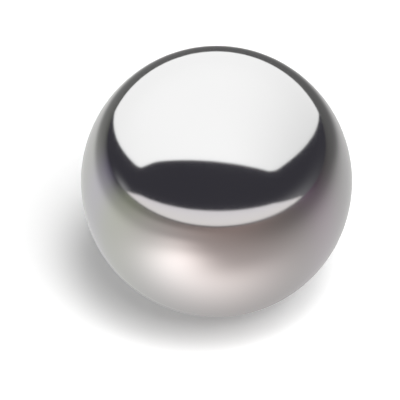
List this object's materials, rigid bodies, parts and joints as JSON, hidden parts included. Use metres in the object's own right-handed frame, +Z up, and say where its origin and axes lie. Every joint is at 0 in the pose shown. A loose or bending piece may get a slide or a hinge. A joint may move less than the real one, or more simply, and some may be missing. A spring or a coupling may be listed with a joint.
{
  "type": "steel ball",
  "caption": "Polished solid steel ball, a plain sphere with a mirror finish, for rolling, bearing, detent or weighting use.",
  "frame": {"origin": "centre of the ball", "axes": "+Z up, away from the surface that the ball rests on; X and Y are any two level directions, because the ball is the same all round"},
  "size_m": [0.0254, 0.0254, 0.0254],
  "materials": {
    "polished_steel": "polished"
  },
  "bodies": {
    "root": {"steel_ball": "polished_steel"}
  },
  "joints": []
}
